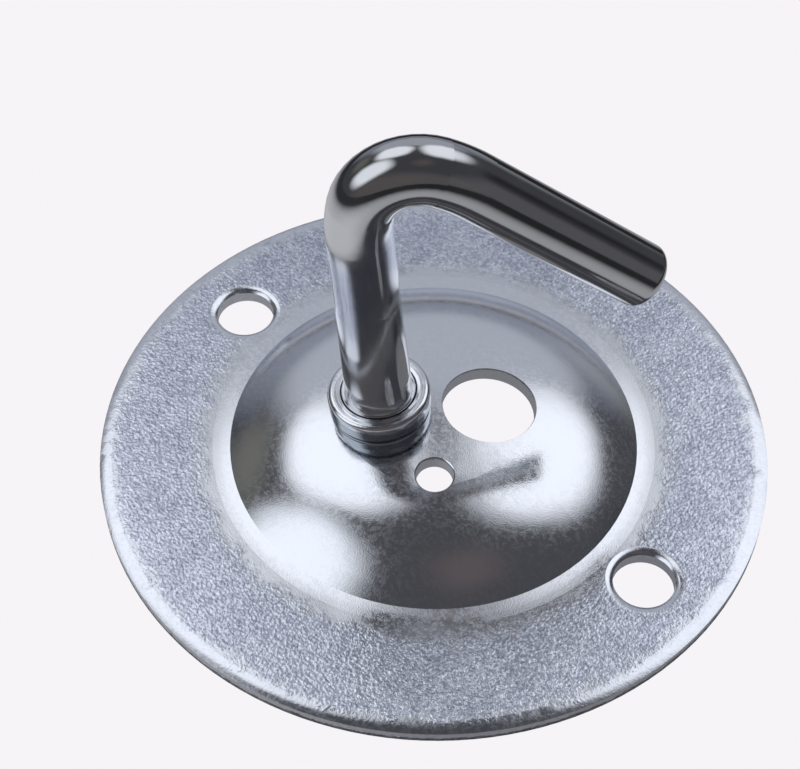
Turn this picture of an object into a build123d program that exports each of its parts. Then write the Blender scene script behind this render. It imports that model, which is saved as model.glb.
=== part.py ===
from build123d import *
import os
from math import asin, atan2, cos, pi, radians, sin

# A pressed-steel hook plate: the domed lid of a round ceiling conduit box, with an open hook that swivels in a
# bush riveted through the dome. Millimetres, +Z up. The origin is the centre of the flange's underside, which
# is the face that closes the box. The fixing holes lie on the X axis.

# Plate
plate_diameter = 65.0
sheet = 1.5
edge_roll_width = 1.2
edge_roll_depth = 0.25
edge_burr = 0.15
crease_diameter = 39.7
crease_lift = 0.1
crease_blend = 1.75
dome_height = 5.0
crown_radius = 75.0
crown_reach = 9.0

# Holes in the plate
fixing_spacing = 50.8
fixing_diameter = 5.8
fixing_roll_width = 0.7
fixing_roll_depth = 0.3
cable_diameter = 9.0
cable_roll_width = 0.4
cable_roll_depth = 0.3
cable_offset = 5.35
cable_direction = 45.0
earth_diameter = 3.5
earth_roll_width = 0.3
earth_roll_depth = 0.25
earth_offset = 7.9
earth_direction = -49.5
drill_reach = 6.0

# Hook, bent from round bar
bar_diameter = 6.0
hook_offset = 5.08
hook_direction = 225.0
shank_length = 24.1
bend_radius = 4.7
bend_angle = 132.3
easing_bend_radius = 14.0
easing_bend_angle = 14.6
arm_length = 20.3
arm_end_round = 0.9
upset_top = 16.0
upset_diameter = 6.4
flare_top = 4.4
foot_top = 3.25
foot_diameter = 7.1

# Swivel: the bar is shouldered down to a journal, then to a spigot that is peened over a washer
seat_height = 1.3
journal_diameter = 5.0
spigot_diameter = 4.0
head_diameter = 6.4
head_height = 1.1
running_gap = 0.06
end_play = 0.04

# Bush: a flanged eyelet with a rolled lip, crimped under the dome
bush_height = 3.25
bush_tube_diameter = 7.9
bush_hole_gap = 0.05
bush_diameter = 9.8
bush_neck_diameter = 8.9
bush_neck_top = 1.35
lip_round = 0.5
mouth_diameter = 7.26
pocket_diameter = 7.2
groove_radius = 4.1
groove_depth = 0.07
crimp_diameter = 9.7
crimp_height = 0.7

# Washers
seat_washer_diameter = 9.5
seat_washer_height = 0.8
seat_washer_round = 0.2
thrust_washer_diameter = 9.4
thrust_washer_height = 0.8

apex = sheet + dome_height
crown_centre = (0, apex - crown_radius)
crown_angle = asin(crown_reach / crown_radius)
crease = (crease_diameter / 2, sheet + crease_lift)


def on_arc(centre, radius, angle):
    """Point of an arc in the section plane; the angle is in radians from straight up."""
    return (centre[0] + radius * sin(angle), centre[1] + radius * cos(angle))


def arc(centre, radius, start, end):
    """Arc in the section plane between two angles from straight up."""
    return ThreePointArc(*(on_arc(centre, radius, angle) for angle in (start, (start + end) / 2, end)))


def easing_radius(width, rise):
    """Radius of the arc that leaves a flat smoothly and rises or drops by rise over width."""
    return (width**2 + rise**2) / (2 * rise)


def shoulder():
    """Centre, radius and end angle of the arc that leaves the crown smoothly and ends at the crease."""
    join = on_arc(crown_centre, crown_radius, crown_angle)
    across = crease[0] - join[0]
    down = crease[1] - join[1]
    radius = -(across**2 + down**2) / (2 * (across * sin(crown_angle) + down * cos(crown_angle)))
    centre = on_arc(join, -radius, crown_angle)
    return centre, radius, atan2(crease[0] - centre[0], crease[1] - centre[1])


def turned(corners):
    """Solid turned about the local Z axis; each corner is (radius, height, rounding)."""
    points = [(radius, height) for radius, height, _ in corners]
    outline = FilletPolyline(*points, radius=[rounding for _, _, rounding in corners], close=True)
    return revolve(Plane.XZ * make_face(outline.edges()), Axis.Z)


def dome_frame(offset, direction):
    """Frame on the crown's outer face: local Z leaves the dome squarely and local X points to its centre."""
    tilt = asin(offset / crown_radius)
    turn = radians(direction)
    outward = (cos(turn), sin(turn))
    height = on_arc(crown_centre, crown_radius, tilt)[1]
    origin = (offset * outward[0], offset * outward[1], height)
    normal = (sin(tilt) * outward[0], sin(tilt) * outward[1], cos(tilt))
    inward = (-cos(tilt) * outward[0], -cos(tilt) * outward[1], sin(tilt))
    return Plane(origin=origin, x_dir=inward, z_dir=normal)


def drill(diameter, roll_width, roll_depth):
    """Cutter for a punched hole whose mouth, at local height 0, is rolled over by the punch."""
    radius = diameter / 2
    mouth = radius + roll_width
    roll_radius = easing_radius(roll_width, roll_depth)
    edge = -asin(roll_width / roll_radius)
    side = [Line((0, -drill_reach), (radius, -drill_reach)), Line((radius, -drill_reach), (radius, -roll_depth))]
    side += [arc((mouth, -roll_radius), roll_radius, edge, 0), Line((mouth, 0), (mouth, drill_reach))]
    side += [Line((mouth, drill_reach), (0, drill_reach)), Line((0, drill_reach), (0, -drill_reach))]
    return revolve(Plane.XZ * make_face(side), Axis.Z)


def pressed_disc():
    """The plate before its holes are punched: flange, crease and dome of one sheet thickness."""
    centre, radius, crease_angle = shoulder()
    rim = plate_diameter / 2
    flat_rim = rim - edge_roll_width
    roll_radius = easing_radius(edge_roll_width, edge_roll_depth)
    flat_start = crease[0] + crease_blend
    blend_radius = easing_radius(crease_blend, crease_lift)
    blend_centre = (flat_start, sheet + blend_radius)
    blend_angle = asin(crease_blend / blend_radius)
    outline = [
        arc(crown_centre, crown_radius, 0, crown_angle),
        arc(centre, radius, crown_angle, crease_angle),
        arc(blend_centre, blend_radius, pi + blend_angle, pi),
        Line((flat_start, sheet), (flat_rim, sheet)),
        arc((flat_rim, sheet - roll_radius), roll_radius, 0, asin(edge_roll_width / roll_radius)),
        Line((rim, sheet - edge_roll_depth), (rim, edge_burr)),
        Line((rim, edge_burr), (rim - edge_burr, 0)),
        Line((rim - edge_burr, 0), (flat_start, 0)),
        arc(blend_centre, blend_radius + sheet, pi, pi + blend_angle),
        arc(crease, sheet, pi + blend_angle, pi + crease_angle),
        arc(centre, radius - sheet, crease_angle, crown_angle),
        arc(crown_centre, crown_radius - sheet, crown_angle, 0),
        Line((0, apex - sheet), (0, apex)),
    ]
    return revolve(Plane.XZ * make_face(outline), Axis.Z)


def dome_plate():
    """The pressed disc with its fixing, cable and earth holes and the plain hole for the bush."""
    plate = pressed_disc()
    for side in (-1, 1):
        fixing_hole = drill(fixing_diameter, fixing_roll_width, fixing_roll_depth)
        plate -= Pos(side * fixing_spacing / 2, 0, sheet) * fixing_hole
    cable_hole = drill(cable_diameter, cable_roll_width, cable_roll_depth)
    plate -= dome_frame(cable_offset, cable_direction).location * cable_hole
    earth_hole = drill(earth_diameter, earth_roll_width, earth_roll_depth)
    plate -= dome_frame(earth_offset, earth_direction).location * earth_hole
    bush_hole = Cylinder(bush_tube_diameter / 2 + bush_hole_gap, 2 * drill_reach)
    return plate - swivel * bush_hole


def seat_washer():
    """Ring that spreads the bush's flange over the dome; its underside follows the dome."""
    bore = bush_tube_diameter / 2 + bush_hole_gap
    rim = seat_washer_diameter / 2
    top = seat_washer_height
    blank = turned([(bore, -sheet, 0), (rim, -sheet, 0), (rim, top, seat_washer_round), (bore, top, 0)])
    return swivel * blank - pressed_disc()


def swivel_bush(plate):
    """Eyelet the hook turns in: a cup with a grooved lip above, crimped tail below."""
    bore = journal_diameter / 2 + running_gap
    tube = bush_tube_diameter / 2
    neck = bush_neck_diameter / 2
    rim = bush_diameter / 2
    mouth = mouth_diameter / 2
    pocket = pocket_diameter / 2
    crimp = crimp_diameter / 2
    tail = -sheet - crimp_height
    blank = turned([
        (bore, tail, 0.15),
        (crimp, tail, 0.3),
        (crimp, -sheet + 0.1, 0),
        (tube, -sheet + 0.1, 0),
        (tube, seat_washer_height, 0),
        (neck, seat_washer_height, 0),
        (neck, bush_neck_top, 0.08),
        (rim, bush_neck_top, 0.12),
        (rim, bush_height, lip_round),
        (groove_radius + 0.1, bush_height, 0.08),
        (groove_radius, bush_height - groove_depth, 0.05),
        (groove_radius - 0.1, bush_height, 0.08),
        (mouth, bush_height - 0.06, 0.12),
        (pocket, bush_height - 0.5, 0.1),
        (pocket, seat_height, 0.15),
        (bore, seat_height, 0),
    ])
    return swivel * blank - plate


def thrust_washer():
    """Plain washer on the spigot, drawn up against the crimped tail by the load."""
    bore = spigot_diameter / 2 + running_gap
    rim = thrust_washer_diameter / 2
    top = -sheet - crimp_height - end_play
    foot = top - thrust_washer_height
    return swivel * turned([(bore, foot, 0), (rim, foot, 0.12), (rim, top, 0.12), (bore, top, 0)])


def hook_path():
    """Centre line of the shank, the bend and the arm, and the arm's end; the bend eases in and out."""
    point = (0, shank_length)
    path = Line((0, upset_top), point)
    heading = 0
    tight_angle = bend_angle - 2 * easing_bend_angle
    easing = (easing_bend_radius, easing_bend_angle)
    for radius, turn in (easing, (bend_radius, tight_angle), easing):
        centre = (point[0] + radius * cos(heading), point[1] - radius * sin(heading))
        path += arc(centre, radius, heading - pi / 2, heading + radians(turn) - pi / 2)
        heading += radians(turn)
        point = on_arc(centre, radius, heading - pi / 2)
    arm_end = (point[0] + arm_length * sin(heading), point[1] + arm_length * cos(heading))
    return path + Line(point, arm_end), arm_end


def hook():
    """Bent bar with its upset foot: shoulder on the bush's seat, journal, spigot and peened head."""
    radius = bar_diameter / 2
    shoulder_height = seat_height + end_play
    path, arm_end = hook_path()
    bar = sweep(Pos(0, 0, upset_top) * Circle(radius), path=Plane.XZ * path)
    arm_face = bar.faces().sort_by_distance((arm_end[0], 0, arm_end[1]))[0]
    bar = fillet(arm_face.edges(), arm_end_round)
    journal_foot = -sheet - crimp_height - end_play
    spigot_foot = journal_foot - thrust_washer_height
    head_foot = spigot_foot - head_height
    foot = turned([
        (0, head_foot, 0),
        (head_diameter / 2, head_foot, 0.75),
        (head_diameter / 2, spigot_foot, 0.1),
        (spigot_diameter / 2, spigot_foot, 0),
        (spigot_diameter / 2, journal_foot, 0),
        (journal_diameter / 2, journal_foot, 0),
        (journal_diameter / 2, shoulder_height, 0),
        (foot_diameter / 2, shoulder_height, 0.15),
        (foot_diameter / 2, foot_top, 0.15),
        (upset_diameter / 2, flare_top, 6.0),
        (radius, upset_top, 0),
        (0, upset_top, 0),
    ])
    return swivel * (bar + foot)


swivel = dome_frame(hook_offset, hook_direction).location
plate_solid = dome_plate()

pieces = {
    "dome_plate": plate_solid,
    "seat_washer": seat_washer(),
    "swivel_bush": swivel_bush(plate_solid),
    "thrust_washer": thrust_washer(),
    "hook": hook(),
}

os.makedirs("parts", exist_ok=True)
for name, piece in pieces.items():
    export_step(piece, f"parts/{name}.step")
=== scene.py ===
from math import cos, radians, sin, tan

import bpy
from mathutils import Matrix, Vector


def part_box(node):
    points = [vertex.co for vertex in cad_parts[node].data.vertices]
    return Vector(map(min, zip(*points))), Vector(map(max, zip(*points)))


# Looks of the ceiling hook plate: a zinc-plated disc with a pressed dome, an eyelet bush and a bright bent-bar hook.
# Everything is in metres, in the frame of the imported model.

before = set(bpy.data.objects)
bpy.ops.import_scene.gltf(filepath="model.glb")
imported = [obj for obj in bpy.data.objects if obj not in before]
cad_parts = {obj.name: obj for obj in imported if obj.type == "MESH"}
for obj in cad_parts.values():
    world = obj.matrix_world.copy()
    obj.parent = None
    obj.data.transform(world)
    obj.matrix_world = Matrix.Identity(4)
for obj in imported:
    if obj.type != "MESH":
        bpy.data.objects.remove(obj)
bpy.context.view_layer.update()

MM = 0.001

# Camera: where it stands, and how far the object's origin is from the middle of its view
VIEW_AZIMUTH = radians(40.79)
VIEW_ELEVATION = radians(50.41)
VIEW_ROLL = radians(-0.14)
VIEW_DISTANCE = 184.5 * MM
VIEW_RIGHT = -3.25 * MM
VIEW_UP = 6.19 * MM
LENS = 84.33
SENSOR_WIDTH = 36
CLIP_START = 10 * MM

# Cards of light: azimuth, elevation, half width, half height, tilt, softness, colour, strength
CARDS = [
    (0, 31, 36, 22, 0, 0.35, (0.90, 0.94, 1.04), 0.46),
    (0, 8, 42, 26, 0, 0.60, (0.82, 0.87, 1.04), 0.30),
    (-41, 57, 18, 19, -32, 0.32, (0.96, 0.98, 1.03), 1.10),
    (49, 52, 22, 21, 30, 0.36, (0.96, 0.98, 1.03), 1.10),
    (-105, 38, 20, 26, 8, 0.40, (0.95, 0.98, 1.03), 1.08),
]
# Faint tints and, where negative, dark flags, in the same order
TINTS = [
    (-60, 23, 12, 9, 0, 0.70, (0.90, 0.88, 0.62), 0.10),
    (36, 2, 12, 8, 0, 0.70, (0.90, 0.90, 0.66), 0.08),
    (152, 66, 10, 9, 0, 0.80, (0.95, 0.60, 0.50), 0.05),
    (-165, 14, 50, 24, 0, 0.60, (1.00, 0.80, 0.66), 0.05),
    (120, 8, 26, 16, 0, 0.60, (1.00, 0.96, 1.00), 0.05),
    (90, 17, 12, 10, 0, 0.60, (1.00, 1.00, 1.00), -0.04),
]
ROOM = (0.064, 0.064, 0.070)

# Shape of a card's corners: 2 makes an ellipse, and a larger number squarer corners
CARD_CORNER = 2.6

# Floor: a square that lies just under the object, so that the two don't share a face
FLOOR_HALF = 3.0
FLOOR_DROP = 0.05 * MM

# Radii on the floor: where the object's shade starts and stops to lift, and where the lit floor fades out
SHADE_START = 33.0 * MM
SHADE_END = 38.0 * MM
FADE_START = 45.0 * MM
FADE_END = 150.0 * MM

# Strength of the floor's light on its dim and bright sides, and the part of it left in the shade and far away
FLOOR_DIM = 0.42
FLOOR_BRIGHT = 0.66
FLOOR_SHADED = 0.5
FLOOR_FADED = 0.06
FLOOR_BRIGHT_AZIMUTH = -100
FLOOR_BRIGHT_REACH = 1.3

# The plate's zones: radius of the crease round the dome, radius of the rim, and where its sheared wall begins
CREASE_RADIUS = 19.85 * MM
RIM_RADIUS = 32.5 * MM
SHEAR_HEIGHT = 0.60 * MM

# The fixing holes on the X axis: how far from the centre, and the radius of their rolled mouths
FIXING_OFFSET = 25.4 * MM
FIXING_MOUTH = 3.6 * MM

# Where the bush's lip begins, a little under its top; below it the side and the washer are darkened with painted
# shade
LIP_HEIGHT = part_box("swivel_bush")[1][2] - 0.7 * MM

# Zinc crystals: the sizes of the large and the small ones
CRYSTAL_SIZES = (0.34 * MM, 0.22 * MM)

# Relief of the plate: the flange's grain, the fine grain and the slow waves all over, and the torn wall
GRAIN_RELIEF = 0.042 * MM
FINE_RELIEF = 0.0045 * MM
WAVE_RELIEF = 0.03 * MM
TORN_RELIEF = 0.25 * MM

# Relief of the bush, its washer and the bar
BUSH_RELIEF = 0.006 * MM
BAR_RELIEF = 0.001 * MM


# ---------------------------------------------------------------- nodes

class Graph:
    """A node tree built by function calls, so that a shader reads like a formula."""

    def __init__(self, tree):
        self.tree = tree
        tree.nodes.clear()

    def add(self, kind, inputs=None, **settings):
        """Adds a node. Inputs are sockets to link or plain values, keyed by the input's name or number."""
        node = self.tree.nodes.new(kind)
        for name, value in settings.items():
            setattr(node, name, value)
        for key, value in (inputs or {}).items():
            if isinstance(value, bpy.types.NodeSocket):
                self.tree.links.new(value, node.inputs[key])
            else:
                node.inputs[key].default_value = value
        return node

    def math(self, operation, *values):
        """Sum, product or other function of single numbers."""
        node = self.add("ShaderNodeMath", dict(enumerate(values)), operation=operation)
        return node.outputs[0]

    def vector(self, operation, *values):
        """Function of vectors or colours."""
        node = self.add("ShaderNodeVectorMath", dict(enumerate(values)), operation=operation)
        return node.outputs["Value" if operation in ("DOT_PRODUCT", "LENGTH") else "Vector"]

    def ramp(self, value, low, high, to_low=0.0, to_high=1.0):
        """Smooth step from to_low to to_high as value goes from low to high."""
        inputs = {"Value": value, "From Min": low, "From Max": high, "To Min": to_low, "To Max": to_high}
        return self.add("ShaderNodeMapRange", inputs, interpolation_type="SMOOTHSTEP").outputs["Result"]

    def noise(self, place, size, detail=2.0, roughness=0.5):
        """Noise whose features are about size metres across."""
        inputs = {"Vector": place, "Scale": 1 / size, "Detail": detail, "Roughness": roughness}
        return self.add("ShaderNodeTexNoise", inputs).outputs["Fac"]

    def unevenness(self, place, size, reach):
        """Rough noise centred on zero; reach is its full width."""
        return self.math("MULTIPLY", self.math("SUBTRACT", self.noise(place, size, 4.0, 0.7), 0.5), reach)

    def crystals(self, place, size):
        """Random shade from 0 to 1 for each of the cells that fill space, about size metres across."""
        node = self.add("ShaderNodeTexVoronoi", {"Vector": place, "Scale": 1 / size})
        return self.split(node.outputs["Color"])[0]

    def mix(self, factor, first, second):
        """Blend of two colours."""
        node = self.add("ShaderNodeMix", {0: factor, 6: first, 7: second}, data_type="RGBA")
        return node.outputs[2]

    def split(self, place):
        """The three parts of a vector."""
        return self.add("ShaderNodeSeparateXYZ", {0: place}).outputs


def rgba(red, green, blue):
    """Opaque colour."""
    return (red, green, blue, 1.0)


# ---------------------------------------------------------------- camera

def camera_axes():
    """Right, up and back directions of the camera before its small roll."""
    back = Vector((sin(VIEW_AZIMUTH) * cos(VIEW_ELEVATION), -cos(VIEW_AZIMUTH) * cos(VIEW_ELEVATION),
                   sin(VIEW_ELEVATION)))
    right = Vector((cos(VIEW_AZIMUTH), sin(VIEW_AZIMUTH), 0))
    return right, back.cross(right), back


def add_camera():
    """Camera that looks down at the object, with the object's origin off the middle of the view."""
    right, up, back = camera_axes()
    place = back * VIEW_DISTANCE + right * VIEW_RIGHT + up * VIEW_UP
    rolled_right = cos(VIEW_ROLL) * right + sin(VIEW_ROLL) * up
    rolled_up = -sin(VIEW_ROLL) * right + cos(VIEW_ROLL) * up
    camera = bpy.data.objects.new("camera", bpy.data.cameras.new("camera"))
    bpy.context.scene.collection.objects.link(camera)
    turn = Matrix((rolled_right, rolled_up, back)).transposed()
    camera.matrix_world = Matrix.Translation(place) @ turn.to_4x4()
    camera.data.sensor_width = SENSOR_WIDTH
    camera.data.lens = LENS
    camera.data.clip_start = CLIP_START
    bpy.context.scene.camera = camera


# ---------------------------------------------------------------- studio

def toward(azimuth, elevation):
    """Direction from the object; azimuth 0 is away from the camera and 90 is to its right, in degrees."""
    right = Vector((cos(VIEW_AZIMUTH), sin(VIEW_AZIMUTH), 0))
    away = Vector((-sin(VIEW_AZIMUTH), cos(VIEW_AZIMUTH), 0))
    level = sin(radians(azimuth)) * right + cos(radians(azimuth)) * away
    return cos(radians(elevation)) * level + sin(radians(elevation)) * Vector((0, 0, 1))


def softbox(graph, view, azimuth, elevation, width, height, tilt, softness):
    """Mask of a flat card round the object: half sizes and tilt are in degrees, edges are soft."""
    centre = toward(azimuth, elevation)
    level = centre.cross(Vector((0, 0, 1))).normalized()
    rise = level.cross(centre)
    across = cos(radians(tilt)) * level + sin(radians(tilt)) * rise
    along = -sin(radians(tilt)) * level + cos(radians(tilt)) * rise
    facing = graph.vector("DOT_PRODUCT", view, centre)
    depth = graph.math("MAXIMUM", facing, 0.05)
    reaches = []
    for axis, half_size in ((across, width), (along, height)):
        offset = graph.math("DIVIDE", graph.vector("DOT_PRODUCT", view, axis / tan(radians(half_size))), depth)
        reaches.append(graph.math("POWER", graph.math("ABSOLUTE", offset), CARD_CORNER))
    reach = graph.math("POWER", graph.math("ADD", *reaches), 1 / CARD_CORNER)
    mask = graph.ramp(reach, 1 - softness, 1 + softness, 1.0, 0.0)
    return graph.math("MULTIPLY", mask, graph.ramp(facing, 0.05, 0.2))


def add_studio():
    """A dim room with soft cards of light round the object."""
    world = bpy.data.worlds.new("studio")
    world.use_nodes = True
    bpy.context.scene.world = world
    graph = Graph(world.node_tree)
    view = graph.add("ShaderNodeTexCoord").outputs["Generated"]
    light = graph.add("ShaderNodeRGB").outputs[0]
    light.default_value = rgba(*ROOM)
    for operation, lights in (("MAXIMUM", CARDS), ("ADD", TINTS)):
        for azimuth, elevation, width, height, tilt, softness, colour, strength in lights:
            mask = softbox(graph, view, azimuth, elevation, width, height, tilt, softness)
            glow = graph.vector("SCALE", tuple(strength * part for part in colour))
            graph.tree.links.new(mask, glow.node.inputs["Scale"])
            light = graph.vector(operation, light, glow)
    background = graph.add("ShaderNodeBackground", {"Color": light, "Strength": 1.0})
    graph.add("ShaderNodeOutputWorld", {"Surface": background.outputs[0]})


def floor_light(graph, place):
    """Light that the floor sends up to the object: a lit round, brighter at the left, shaded under the object."""
    radius = graph.vector("LENGTH", place)
    bearing = graph.vector("NORMALIZE", place)
    leftness = graph.vector("DOT_PRODUCT", bearing, toward(FLOOR_BRIGHT_AZIMUTH, 0))
    near = graph.ramp(leftness, 0.0, 0.9, FLOOR_DIM, FLOOR_BRIGHT)
    fade_end = graph.ramp(leftness, 0.0, 0.9, FADE_END, FLOOR_BRIGHT_REACH * FADE_END)
    fade = graph.ramp(radius, FADE_START, fade_end, 1.0, FLOOR_FADED)
    shade = graph.ramp(radius, SHADE_START, SHADE_END, FLOOR_SHADED, 1.0)
    return graph.math("MULTIPLY", near, graph.math("MULTIPLY", fade, shade))


def add_floor():
    """Large pale floor. The camera sees it evenly pale; the object is lit by floor_light."""
    floor_mesh = bpy.data.meshes.new("floor")
    corners = [(x * FLOOR_HALF, y * FLOOR_HALF, -FLOOR_DROP) for x, y in ((-1, -1), (1, -1), (1, 1), (-1, 1))]
    floor_mesh.from_pydata(corners, [], [(0, 1, 2, 3)])
    floor = bpy.data.objects.new("floor", floor_mesh)
    bpy.context.scene.collection.objects.link(floor)
    material = bpy.data.materials.new("floor")
    material.use_nodes = True
    graph = Graph(material.node_tree)
    place = graph.add("ShaderNodeTexCoord").outputs["Object"]
    pale = graph.mix(graph.noise(place, 0.4), rgba(0.925, 0.900, 0.925), rgba(0.930, 0.905, 0.930))
    seen = graph.add("ShaderNodeEmission", {"Color": pale, "Strength": 1.0})
    sent = graph.add("ShaderNodeEmission", {"Color": rgba(0.98, 0.98, 1.02), "Strength": floor_light(graph, place)})
    to_camera = graph.add("ShaderNodeLightPath").outputs["Is Camera Ray"]
    glow = graph.add("ShaderNodeMixShader", {0: to_camera, 1: sent.outputs[0], 2: seen.outputs[0]})
    graph.add("ShaderNodeOutputMaterial", {"Surface": glow.outputs[0]})
    floor_mesh.materials.append(material)


# ---------------------------------------------------------------- materials

def metal(name):
    """New material with its graph, its principled shader and the place on the object."""
    material = bpy.data.materials.new(name)
    material.use_nodes = True
    graph = Graph(material.node_tree)
    place = graph.add("ShaderNodeTexCoord").outputs["Object"]
    shader = graph.add("ShaderNodeBsdfPrincipled")
    shader.inputs["Metallic"].default_value = 1.0
    graph.add("ShaderNodeOutputMaterial", {"Surface": shader.outputs[0]})
    return material, graph, shader, place


def connect(graph, shader, colour, roughness, height):
    """Feeds a principled shader; the height is in metres."""
    bump = graph.add("ShaderNodeBump", {"Height": height, "Strength": 1.0, "Distance": 1.0})
    for name, value in (("Base Color", colour), ("Roughness", roughness), ("Normal", bump.outputs[0])):
        graph.tree.links.new(value, shader.inputs[name])


def grainy_zone(graph, place, radius):
    """1 on the grainy flange and 0 on the dome; low beside the crease, the rim and the fixing holes."""
    across, along, _ = graph.split(place)
    wandered = graph.math("ADD", radius, graph.unevenness(place, 2.0 * MM, 4.0 * MM))
    flange = graph.ramp(wandered, CREASE_RADIUS + 1.8 * MM, CREASE_RADIUS + 4.4 * MM)
    inside_rim = graph.ramp(wandered, RIM_RADIUS - 2.2 * MM, RIM_RADIUS - 0.8 * MM, 1.0, 0.25)
    beside_hole = graph.math("SUBTRACT", graph.math("ABSOLUTE", across), FIXING_OFFSET)
    from_hole = graph.vector("LENGTH", graph.add("ShaderNodeCombineXYZ", {0: beside_hole, 1: along}).outputs[0])
    outside_hole = graph.ramp(from_hole, FIXING_MOUTH - 0.3 * MM, FIXING_MOUTH + 0.5 * MM, 0.2, 1.0)
    return graph.math("MULTIPLY", flange, graph.math("MULTIPLY", inside_rim, outside_hole))


def plate_relief(graph, place, grainy):
    """Height of the plate's skin in metres: coarse grain on the flange, fine grain and slow waves all over."""
    coarse = graph.math("MULTIPLY", graph.noise(place, 0.30 * MM, 1.0),
                        graph.ramp(grainy, 0.0, 1.0, 0.0, GRAIN_RELIEF))
    fine = graph.math("MULTIPLY", graph.noise(place, 0.14 * MM, 1.0), FINE_RELIEF)
    wave = graph.math("MULTIPLY", graph.noise(place, 6.0 * MM, 1.0), WAVE_RELIEF)
    return graph.math("ADD", graph.math("ADD", coarse, fine), wave)


def torn_and_shaded_wall(graph, place, radius):
    """1 on the lower part of the rim's wall, which the blanking die tears and where the contact shade along the
    floor falls.
    """
    level = graph.split(place)[2]
    ragged = graph.math("ADD", level, graph.unevenness(place, 0.9 * MM, 0.9 * MM))
    low = graph.ramp(ragged, SHEAR_HEIGHT - 0.1 * MM, SHEAR_HEIGHT + 0.1 * MM, 1.0, 0.0)
    return graph.math("MULTIPLY", low, graph.ramp(radius, RIM_RADIUS - 0.25 * MM, RIM_RADIUS - 0.1 * MM))


def zinc_plate():
    """Grainy zinc on the flange, smooth beside the crease, the rim and the holes, and bright on the dome; the lower
    rim wall is dark, partly from its torn metal and partly as painted contact shade along the floor.
    """
    material, graph, shader, place = metal("zinc_plate")
    radius = graph.vector("LENGTH", graph.vector("MULTIPLY", place, (1, 1, 0)))
    grainy = grainy_zone(graph, place, radius)

    cloud = graph.noise(place, 0.45 * MM, 2.0, 0.6)
    crystals = graph.math("ADD", *(graph.crystals(place, size) for size in CRYSTAL_SIZES))
    grain = graph.math("ADD", graph.math("MULTIPLY", cloud, 0.5), graph.math("MULTIPLY", crystals, 0.25))
    speck = graph.ramp(grain, 0.30, 0.70)
    patch = graph.ramp(graph.noise(place, 5.0 * MM, 3.0, 0.6), 0.35, 0.65, 0.0, 0.25)
    shade = graph.math("ADD", graph.math("MULTIPLY", speck, 0.8), patch)
    grainy_tone = graph.mix(shade, rgba(0.44, 0.47, 0.57), rgba(0.83, 0.87, 0.98))
    smooth_tone = graph.mix(speck, rgba(0.84, 0.86, 0.91), rgba(0.86, 0.89, 0.95))
    plated_tone = graph.mix(grainy, smooth_tone, grainy_tone)
    frosted = graph.ramp(speck, 0.2, 1.0, 0.12, 0.20)
    plated_roughness = graph.add("ShaderNodeMix", {0: grainy, 2: frosted, 3: 0.20}).outputs[0]

    torn_and_shaded = torn_and_shaded_wall(graph, place, radius)
    tear = graph.math("MULTIPLY", graph.noise(place, 0.35 * MM, 3.0, 0.7), TORN_RELIEF)
    # The lower rim wall's dark tone is partly the torn metal and partly painted shade where the plate meets the
    # floor; its roughness and relief are the real tear
    torn_and_shaded_tone = graph.mix(speck, rgba(0.16, 0.17, 0.18), rgba(0.40, 0.41, 0.44))
    colour = graph.mix(torn_and_shaded, plated_tone, torn_and_shaded_tone)
    roughness = graph.math("ADD", plated_roughness, graph.math("MULTIPLY", torn_and_shaded, 0.25))
    height = graph.math("ADD", plate_relief(graph, place, grainy), graph.math("MULTIPLY", tear, torn_and_shaded))
    connect(graph, shader, colour, roughness, height)
    return material


def bright_zinc():
    """Zinc-plated steel of the bush and its washer: the rolled lip keeps the zinc's own tone, and the side below it
    and the washer are darkened with painted shade.
    """
    material, graph, shader, place = metal("bright_zinc")
    cloud = graph.noise(place, 1.2 * MM, 3.0)
    level = graph.math("ADD", graph.split(place)[2], graph.math("MULTIPLY", cloud, 0.4 * MM))
    unshaded_lip = graph.ramp(level, LIP_HEIGHT - 0.5 * MM, LIP_HEIGHT)
    bright = graph.mix(cloud, rgba(0.78, 0.81, 0.86), rgba(0.88, 0.90, 0.95))
    # Painted shade: the tone under the lip is darkened to stand for the shade on the bush's side and on its washer
    painted_shade_tone = graph.mix(cloud, rgba(0.28, 0.31, 0.35), rgba(0.46, 0.50, 0.54))
    colour = graph.mix(unshaded_lip, painted_shade_tone, bright)
    roughness = graph.ramp(cloud, 0.3, 0.7, 0.10, 0.18)
    height = graph.math("MULTIPLY", graph.noise(place, 0.25 * MM), BUSH_RELIEF)
    connect(graph, shader, colour, roughness, height)
    return material


def bright_bar():
    """Bright drawn bar of the hook."""
    material, graph, shader, place = metal("bright_bar")
    cloud = graph.noise(place, 3.0 * MM, 3.0)
    colour = graph.mix(cloud, rgba(0.58, 0.59, 0.61), rgba(0.68, 0.69, 0.71))
    roughness = graph.ramp(cloud, 0.3, 0.7, 0.07, 0.12)
    height = graph.math("MULTIPLY", graph.noise(place, 0.5 * MM, 3.0), BAR_RELIEF)
    connect(graph, shader, colour, roughness, height)
    return material


def finish_nodes():
    """Each CAD node takes the material of its slot."""
    finishes = {
        zinc_plate(): ("dome_plate", "thrust_washer"),
        bright_zinc(): ("seat_washer", "swivel_bush"),
        bright_bar(): ("hook",),
    }
    for material, names in finishes.items():
        for name in names:
            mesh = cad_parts[name].data
            mesh.materials.clear()
            mesh.materials.append(material)


# ---------------------------------------------------------------- scene

add_camera()
add_studio()
add_floor()
finish_nodes()
bpy.context.scene.view_settings.view_transform = "Standard"
